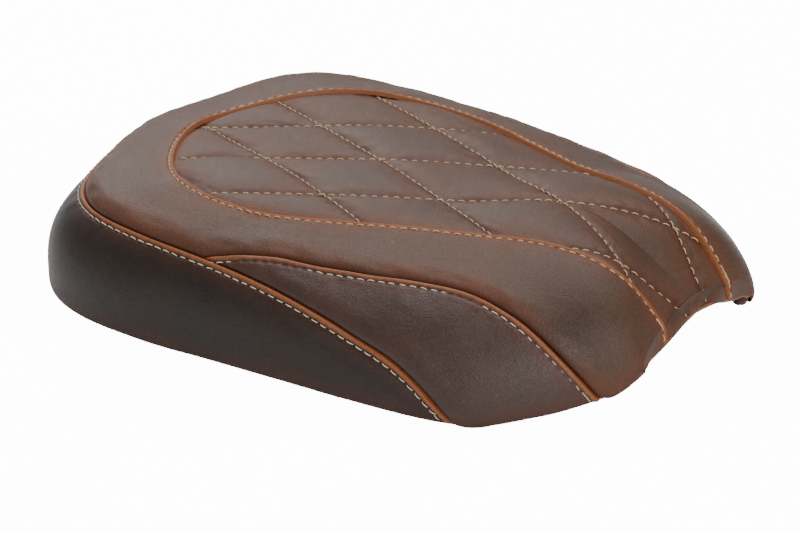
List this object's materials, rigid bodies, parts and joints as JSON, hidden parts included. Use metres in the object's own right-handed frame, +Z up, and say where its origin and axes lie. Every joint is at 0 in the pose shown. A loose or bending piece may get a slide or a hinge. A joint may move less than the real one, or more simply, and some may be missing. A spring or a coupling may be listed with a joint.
{
  "type": "motorcycle seat",
  "caption": "Low solo motorcycle seat with a rounded rear, an arched front and a diamond-quilted leather insert, on a moulded base pan with threaded bolt points and a front slot.",
  "frame": {"origin": "middle of the footprint, on the plane the seat stands on", "axes": "+X towards the front (the fuel tank end), +Y to the rider's left, +Z up"},
  "size_m": [0.4149, 0.2936, 0.0901],
  "materials": {
    "top_leather": "semi-gloss, greyish brown pull-up leather",
    "band_leather": "semi-gloss, very dark brown",
    "gusset_leather": "semi-gloss, dark purplish brown, fine grain",
    "edge_leather": "burnished orange-brown edge",
    "backing_foam": "open-cell foam sheet",
    "seat_foam": "moulded flexible foam",
    "pan_plastic": "fine grained moulding",
    "tan_thread": "waxed tan thread",
    "grey_thread": "waxed grey-beige thread",
    "staple_steel": "zinc plated wire",
    "insert_brass": "turned",
    "bracket_steel": "black powder coat",
    "rivet_aluminium": "plain",
    "bumper_rubber": "matte black"
  },
  "bodies": {
    "root": {"quilted_insert": "top_leather", "quilt_backing": "backing_foam", "quilting_thread": "tan_thread", "top_surround": "top_leather", "insert_topstitch": "tan_thread", "rear_band": "band_leather", "band_topstitch": "grey_thread", "gusset_left": "gusset_leather", "gusset_right": "gusset_leather", "gusset_topstitch_left": "grey_thread", "gusset_topstitch_right": "grey_thread", "hem_binding": "edge_leather", "hem_staples": "staple_steel", "foam_cushion": "seat_foam", "base_pan": "pan_plastic", "threaded_insert_left": "insert_brass", "threaded_insert_right": "insert_brass", "front_keeper": "bracket_steel", "keeper_rivets": "rivet_aluminium", "bumper_rear_left": "bumper_rubber", "bumper_rear_right": "bumper_rubber", "bumper_front_left": "bumper_rubber", "bumper_front_right": "bumper_rubber"}
  },
  "joints": []
}
